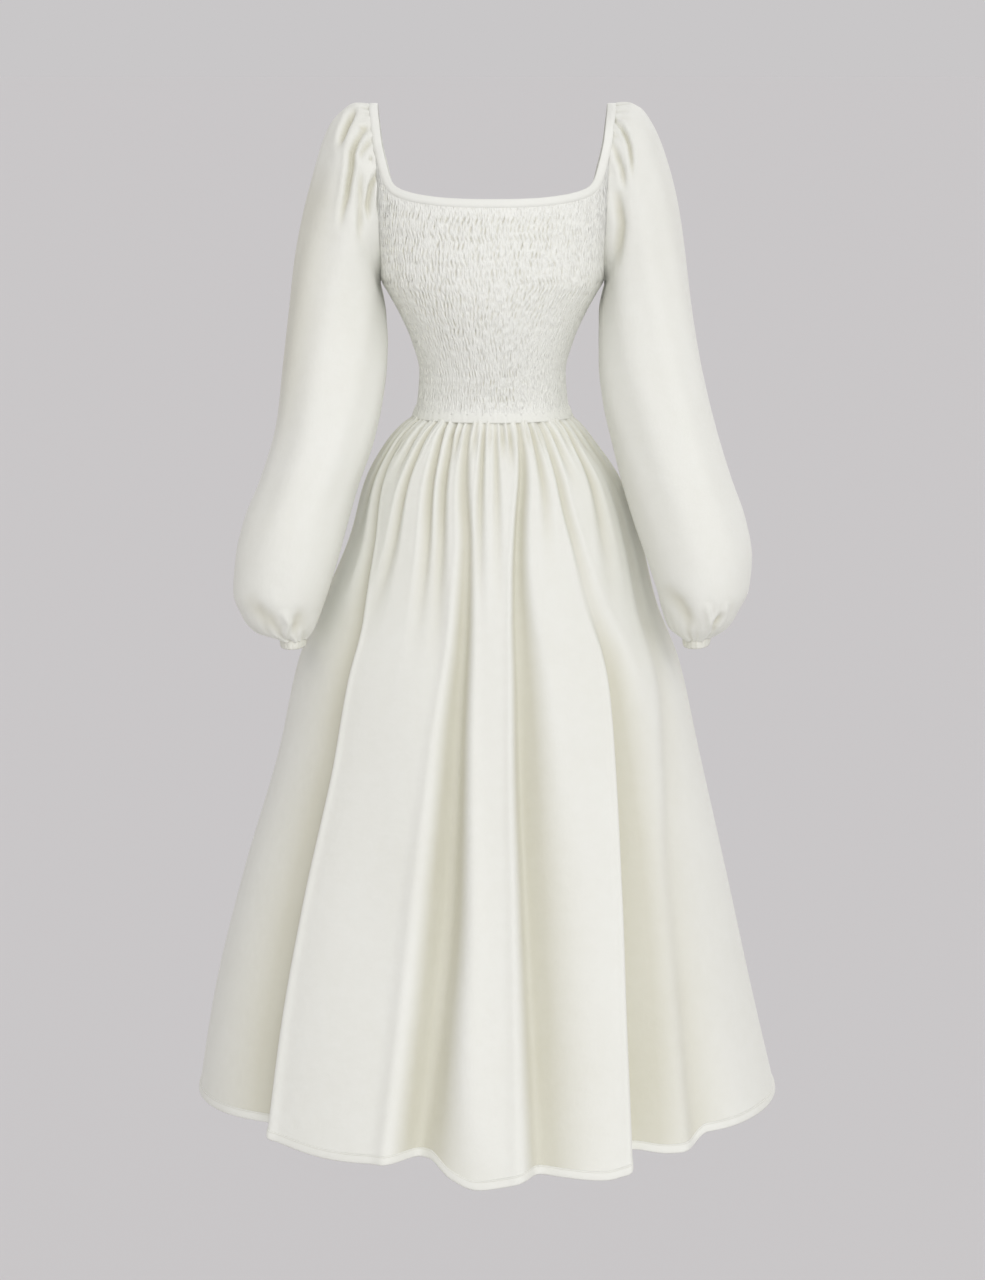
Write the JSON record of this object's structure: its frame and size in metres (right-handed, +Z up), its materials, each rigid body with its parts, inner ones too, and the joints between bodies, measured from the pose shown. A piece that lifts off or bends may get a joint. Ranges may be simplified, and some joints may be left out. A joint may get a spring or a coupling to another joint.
{
  "type": "peasant dress",
  "caption": "Long ivory dress with a square neck, shirred bodice, balloon sleeves, elastic waist and a gathered, flared skirt.",
  "frame": {"origin": "midway between the two shoulder tops, where a wearer or a form carries the dress", "axes": "+Z up, -Y out of the dress's front, +X towards the sleeve at the right of a viewer who faces the front"},
  "size_m": [0.671, 0.5446, 1.1702],
  "materials": {
    "dress_cloth": "plain woven ivory cotton, matt",
    "shirred_cloth": "the same cotton, shirred with rows of elastic thread",
    "casing_cloth": "the same cotton, folded into narrow casings and hems"
  },
  "bodies": {
    "root": {"bodice_front": "shirred_cloth", "bodice_back": "shirred_cloth", "neck_casing": "casing_cloth", "waist_casing": "casing_cloth", "sleeve_left": "dress_cloth", "sleeve_right": "dress_cloth", "cuff_left": "casing_cloth", "cuff_right": "casing_cloth", "skirt_front": "dress_cloth", "skirt_back": "dress_cloth", "hem_front": "casing_cloth", "hem_back": "casing_cloth"}
  },
  "joints": []
}
